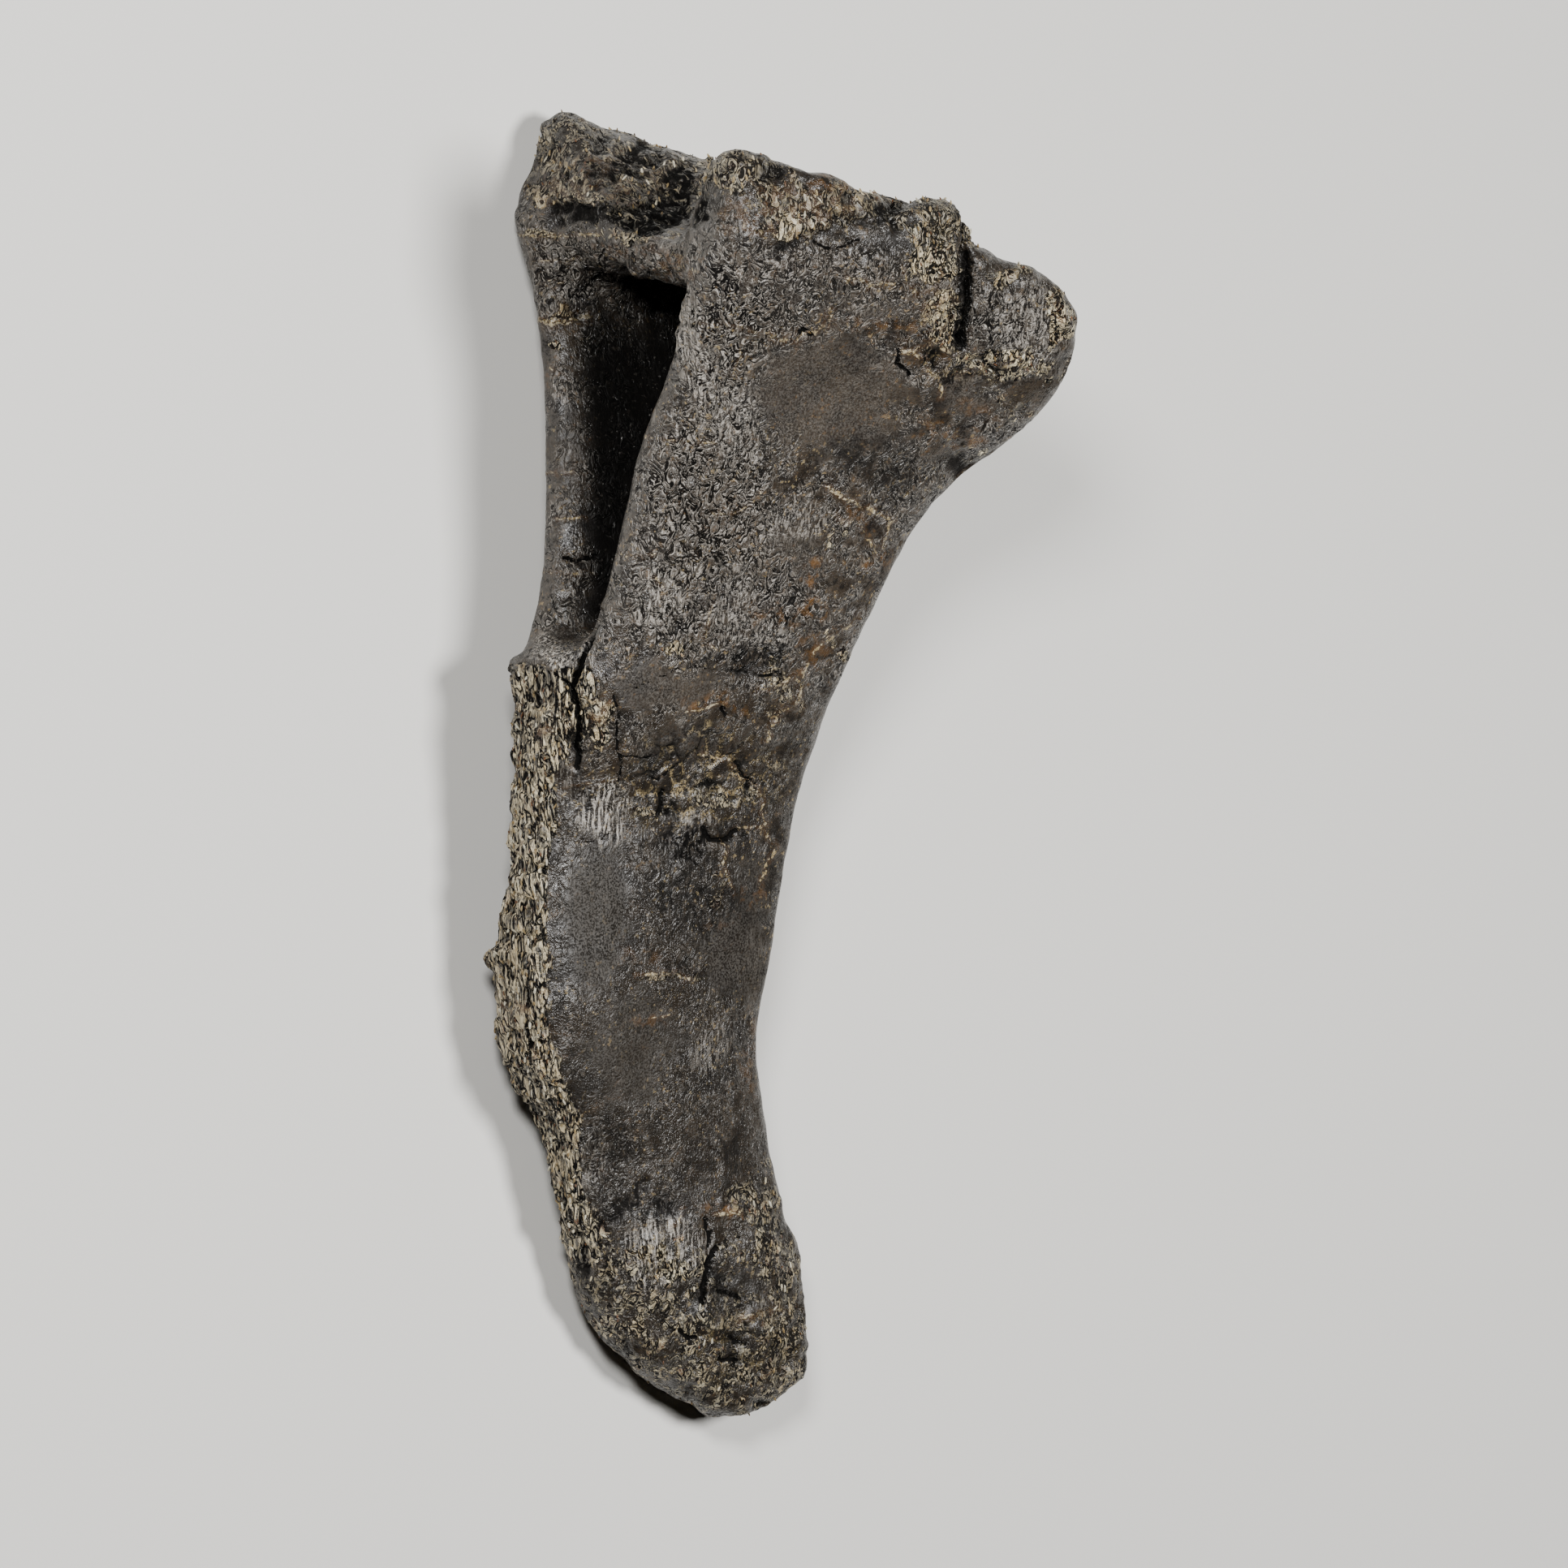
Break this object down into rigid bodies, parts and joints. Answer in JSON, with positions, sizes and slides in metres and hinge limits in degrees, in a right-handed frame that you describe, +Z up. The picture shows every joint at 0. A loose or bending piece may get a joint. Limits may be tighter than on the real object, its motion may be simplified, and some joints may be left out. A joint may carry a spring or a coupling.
{
  "type": "fossil chevron bone",
  "caption": "Fossil haemal arch (chevron) of a diplodocus tail, lying on its side: a curved blade that forks round a canal, with its heads joined over it.",
  "frame": {"origin": "centre of the bounding box in plan, at the height of the surface that the bone rests on", "axes": "+Y along the bone's length, from the blade's free end to the joint heads; +Z up, to the animal's left side; +X to the back edge, which pointed to the tail's tip. The bone lies on its right side."},
  "size_m": [0.1724, 0.3864, 0.1188],
  "materials": {
    "fossil_bone": "satin, dark brown-grey cortex with matt tan broken bone"
  },
  "bodies": {
    "root": {"chevron_bone": "fossil_bone"}
  },
  "joints": []
}
